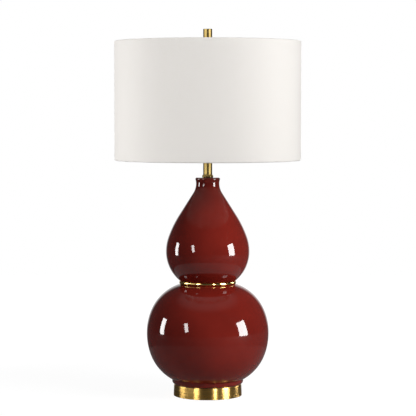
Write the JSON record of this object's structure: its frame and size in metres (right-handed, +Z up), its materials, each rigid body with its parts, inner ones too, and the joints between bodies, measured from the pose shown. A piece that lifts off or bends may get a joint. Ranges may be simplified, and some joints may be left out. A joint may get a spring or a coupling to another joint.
{
  "type": "double gourd table lamp",
  "caption": "Glazed ceramic double gourd table lamp with brass base, waist ring, neck and finial, and a linen drum shade on a harp.",
  "frame": {"origin": "centre of the felt face the lamp stands on", "axes": "+Z up the lamp's axis, -Y to the front where the switch key points, +Y to the cord inlet"},
  "size_m": [0.4301, 0.4302, 0.8486],
  "materials": {
    "felt": "pressed wool felt, dark green",
    "brass": "polished and lacquered",
    "cast_iron": "rough cast, black wash",
    "black_nylon": "moulded, satin",
    "zinc_steel": "zinc plated",
    "black_rubber": "matt",
    "oxblood_glaze": "glossy oxblood glaze",
    "brass_plate": "brass plated steel, satin",
    "card": "pressed insulating card",
    "phenolic": "black moulded phenolic",
    "aluminium": "rolled thin sheet",
    "bulb_glass": "frosted inside",
    "black_glass": "black glass insulator",
    "linen": "off-white plain weave linen",
    "styrene": "white styrene liner",
    "white_wire": "white powder coat"
  },
  "bodies": {
    "stand": {"felt_pad": "felt", "base_cup": "brass", "base_weight": "cast_iron", "cord_bushing": "black_nylon", "rod_nut": "zinc_steel", "rod_lock_washer": "zinc_steel", "rod_washer": "zinc_steel", "lamp_rod": "zinc_steel", "foot_gasket": "black_rubber", "lower_bulb": "oxblood_glaze", "waist_ring": "brass", "upper_bulb": "oxblood_glaze", "neck_gasket": "black_rubber", "neck_collar": "brass", "neck_tube": "brass", "check_ring": "brass", "harp_saddle": "brass_plate", "harp": "brass_plate", "socket_cap": "brass_plate", "socket_shell": "brass_plate", "socket_liner": "card", "socket_body": "phenolic", "socket_screw_shell": "aluminium", "socket_contact": "brass_plate"},
    "switch_key": {"switch_shaft": "brass_plate", "switch_knob": "phenolic"},
    "sleeve_left": {"harp_sleeve_left": "brass_plate"},
    "sleeve_right": {"harp_sleeve_right": "brass_plate"},
    "shade": {"shade_cover": "linen", "shade_liner": "styrene", "shade_top_ring": "white_wire", "shade_bottom_ring": "white_wire", "spider": "white_wire", "harp_stud": "brass_plate"},
    "finial": {"finial": "brass"},
    "bulb": {"bulb_contact": "zinc_steel", "bulb_insulator": "black_glass", "bulb_cap": "aluminium", "bulb_glass": "bulb_glass"}
  },
  "joints": [
    {"name": "switch_turn", "type": "hinge", "parent": "stand", "child": "switch_key", "pos_m": [0, -0.02, 0.58891], "axis": [0, -1, 0], "continuous": true},
    {"name": "sleeve_left_lift", "type": "slide", "parent": "stand", "child": "sleeve_left", "axis": [0, 0, 1], "range_m": [0, 0.012]},
    {"name": "sleeve_right_lift", "type": "slide", "parent": "stand", "child": "sleeve_right", "axis": [0, 0, 1], "range_m": [0, 0.012]},
    {"name": "shade_turn", "type": "hinge", "parent": "stand", "child": "shade", "pos_m": [0, 0, 0.8], "axis": [0, 0, 1], "continuous": true},
    {"name": "finial_unscrew", "type": "slide", "parent": "shade", "child": "finial", "axis": [0, 0, 1], "range_m": [0, 0.014]},
    {"name": "bulb_unscrew", "type": "slide", "parent": "stand", "child": "bulb", "axis": [0, 0, 1], "range_m": [0, 0.024]}
  ]
}
